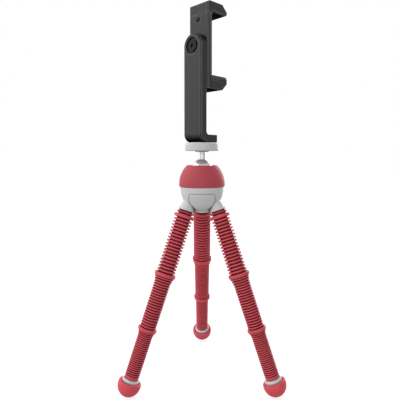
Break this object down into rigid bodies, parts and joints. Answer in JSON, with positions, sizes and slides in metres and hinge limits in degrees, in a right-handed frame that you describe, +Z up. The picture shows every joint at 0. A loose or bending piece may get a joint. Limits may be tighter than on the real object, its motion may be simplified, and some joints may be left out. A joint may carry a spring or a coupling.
{
  "type": "flexible leg tripod",
  "caption": "Table tripod with bendable ribbed legs on ball feet, a lockable ball head and a spring-loaded swivelling phone clamp.",
  "frame": {"origin": "on the floor, under the middle of the bounding box of the three feet", "axes": "+Z up; the two front legs and the back of the clamp face -Y, the rear leg points to +Y"},
  "size_m": [0.141, 0.1248, 0.3369],
  "materials": {
    "red_rubber": "soft satin thermoplastic rubber",
    "foot_rubber": "matt rubber",
    "red_plastic": "satin moulded plastic",
    "grey_plastic": "fine matt moulded plastic",
    "panel_plastic": "fine matt moulded plastic",
    "pale_plastic": "satin",
    "black_plastic": "satin, finely grained",
    "pad_rubber": "soft matt",
    "chrome": "polished",
    "steel": "zinc plated",
    "dark_steel": "black oxide",
    "wire": "soft drawn wire",
    "nylon": "self-lubricating moulded plastic",
    "brass": "turned"
  },
  "bodies": {
    "housing": {"housing_shell": "grey_plastic", "housing_panels": "panel_plastic", "leg_plugs": "brass", "plug_screws": "steel", "leg_root_collars": "red_rubber", "core_wires": "wire", "spring_washer": "steel", "left_neck_a": "red_rubber", "right_neck_a": "red_rubber", "rear_neck_a": "red_rubber"},
    "lock_collar": {"lock_collar": "red_plastic"},
    "ball_race": {"ball_race": "nylon"},
    "ball_seat": {"ball_seat": "nylon"},
    "ball_stud": {"ball_stud": "chrome"},
    "platform_disc": {"platform_disc": "pale_plastic"},
    "arm": {"arm_frame": "black_plastic", "arm_cover": "black_plastic", "thread_insert": "brass", "cover_screws": "steel", "pivot_screw": "dark_steel", "pivot_washer": "nylon", "pivot_nut": "steel"},
    "clamp": {"clamp_body": "black_plastic", "clamp_cover": "black_plastic", "lower_jaw_pad": "pad_rubber", "clamp_screw": "dark_steel", "jaw_springs": "steel"},
    "upper_jaw": {"upper_jaw": "black_plastic", "upper_jaw_pad": "pad_rubber", "guide_rods": "steel"},
    "left_hip": {"left_link": "red_rubber", "left_neck_b": "red_rubber"},
    "left_upper": {"left_upper_sleeve": "red_rubber", "left_neck_c": "red_rubber"},
    "left_middle": {"left_middle_sleeve": "red_rubber", "left_neck_d": "red_rubber"},
    "left_lower": {"left_lower_sleeve": "red_rubber", "left_foot_hub": "grey_plastic", "left_foot_ball": "foot_rubber"},
    "right_hip": {"right_link": "red_rubber", "right_neck_b": "red_rubber"},
    "right_upper": {"right_upper_sleeve": "red_rubber", "right_neck_c": "red_rubber"},
    "right_middle": {"right_middle_sleeve": "red_rubber", "right_neck_d": "red_rubber"},
    "right_lower": {"right_lower_sleeve": "red_rubber", "right_foot_hub": "grey_plastic", "right_foot_ball": "foot_rubber"},
    "rear_hip": {"rear_link": "red_rubber", "rear_neck_b": "red_rubber"},
    "rear_upper": {"rear_upper_sleeve": "red_rubber", "rear_neck_c": "red_rubber"},
    "rear_middle": {"rear_middle_sleeve": "red_rubber", "rear_neck_d": "red_rubber"},
    "rear_lower": {"rear_lower_sleeve": "red_rubber", "rear_foot_hub": "grey_plastic", "rear_foot_ball": "foot_rubber"}
  },
  "joints": [
    {"name": "collar_turn", "type": "hinge", "parent": "housing", "child": "lock_collar", "pos_m": [0, -0.01754, 0.17287], "axis": [0, 0, 1], "range_deg": [0, 120]},
    {"name": "race_slide", "type": "slide", "parent": "housing", "child": "ball_race", "axis": [0, 0, 1], "range_m": [-0.000501, 0], "deforming": ["spring_washer"]},
    {"name": "head_pan", "type": "hinge", "parent": "housing", "child": "ball_seat", "pos_m": [0, -0.01754, 0.18837], "axis": [0, 0, 1], "continuous": true},
    {"name": "head_tilt", "type": "hinge", "parent": "ball_seat", "child": "ball_stud", "pos_m": [0, -0.01754, 0.18837], "axis": [1, 0, 0], "range_deg": [-45, 45]},
    {"name": "disc_turn", "type": "hinge", "parent": "ball_stud", "child": "platform_disc", "pos_m": [0, -0.01754, 0.20517], "axis": [0, 0, 1], "continuous": true},
    {"name": "mount_turn", "type": "hinge", "parent": "ball_stud", "child": "arm", "pos_m": [0, -0.01754, 0.21257], "axis": [0, 0, 1], "continuous": true},
    {"name": "clamp_turn", "type": "hinge", "parent": "arm", "child": "clamp", "pos_m": [0, -0.01754, 0.29777], "axis": [0.7071, 0.7071, 0], "continuous": true},
    {"name": "jaw_slide", "type": "slide", "parent": "clamp", "child": "upper_jaw", "axis": [0, 0, 1], "range_m": [0, 0.035], "stiffness_N_per_m": 150, "springref_m": -0.02, "deforming": ["jaw_springs"]},
    {"name": "left_splay", "type": "hinge", "parent": "housing", "child": "left_hip", "pos_m": [-0.01882, -0.02841, 0.13793], "axis": [-0.5, 0.866, 0], "range_deg": [-20, 60], "deforming": ["left_neck_a", "core_wires"]},
    {"name": "left_swing", "type": "hinge", "parent": "left_hip", "child": "left_upper", "pos_m": [-0.02363, -0.03119, 0.12322], "axis": [-0.8101, -0.4677, 0.3535], "range_deg": [-30, 30], "deforming": ["left_neck_b"]},
    {"name": "left_knee", "type": "hinge", "parent": "left_upper", "child": "left_middle", "pos_m": [-0.03466, -0.03755, 0.08953], "axis": [0.5, -0.866, 0], "range_deg": [-60, 60], "deforming": ["left_neck_c"]},
    {"name": "left_ankle", "type": "hinge", "parent": "left_middle", "child": "left_lower", "pos_m": [-0.04911, -0.04589, 0.04538], "axis": [0.5, -0.866, 0], "range_deg": [-60, 60], "deforming": ["left_neck_d"]},
    {"name": "right_splay", "type": "hinge", "parent": "housing", "child": "right_hip", "pos_m": [0.01882, -0.02841, 0.13793], "axis": [-0.5, -0.866, 0], "range_deg": [-20, 60], "deforming": ["right_neck_a"]},
    {"name": "right_swing", "type": "hinge", "parent": "right_hip", "child": "right_upper", "pos_m": [0.02363, -0.03119, 0.12322], "axis": [0.8101, -0.4677, 0.3535], "range_deg": [-30, 30], "deforming": ["right_neck_b"]},
    {"name": "right_knee", "type": "hinge", "parent": "right_upper", "child": "right_middle", "pos_m": [0.03466, -0.03755, 0.08953], "axis": [0.5, 0.866, 0], "range_deg": [-60, 60], "deforming": ["right_neck_c"]},
    {"name": "right_ankle", "type": "hinge", "parent": "right_middle", "child": "right_lower", "pos_m": [0.04911, -0.04589, 0.04538], "axis": [0.5, 0.866, 0], "range_deg": [-60, 60], "deforming": ["right_neck_d"]},
    {"name": "rear_splay", "type": "hinge", "parent": "housing", "child": "rear_hip", "pos_m": [0, 0.00419, 0.13793], "axis": [1, 0, 0], "range_deg": [-20, 60], "deforming": ["rear_neck_a"]},
    {"name": "rear_swing", "type": "hinge", "parent": "rear_hip", "child": "rear_upper", "pos_m": [0, 0.00975, 0.12322], "axis": [0, 0.9354, 0.3535], "range_deg": [-30, 30], "deforming": ["rear_neck_b"]},
    {"name": "rear_knee", "type": "hinge", "parent": "rear_upper", "child": "rear_middle", "pos_m": [0, 0.02248, 0.08953], "axis": [-1, 0, 0], "range_deg": [-60, 60], "deforming": ["rear_neck_c"]},
    {"name": "rear_ankle", "type": "hinge", "parent": "rear_middle", "child": "rear_lower", "pos_m": [0, 0.03916, 0.04538], "axis": [-1, 0, 0], "range_deg": [-60, 60], "deforming": ["rear_neck_d"]}
  ],
  "couplings": [
    {"joint": "race_slide", "follows": "collar_turn", "m_per_rad": -0.00023873}
  ]
}
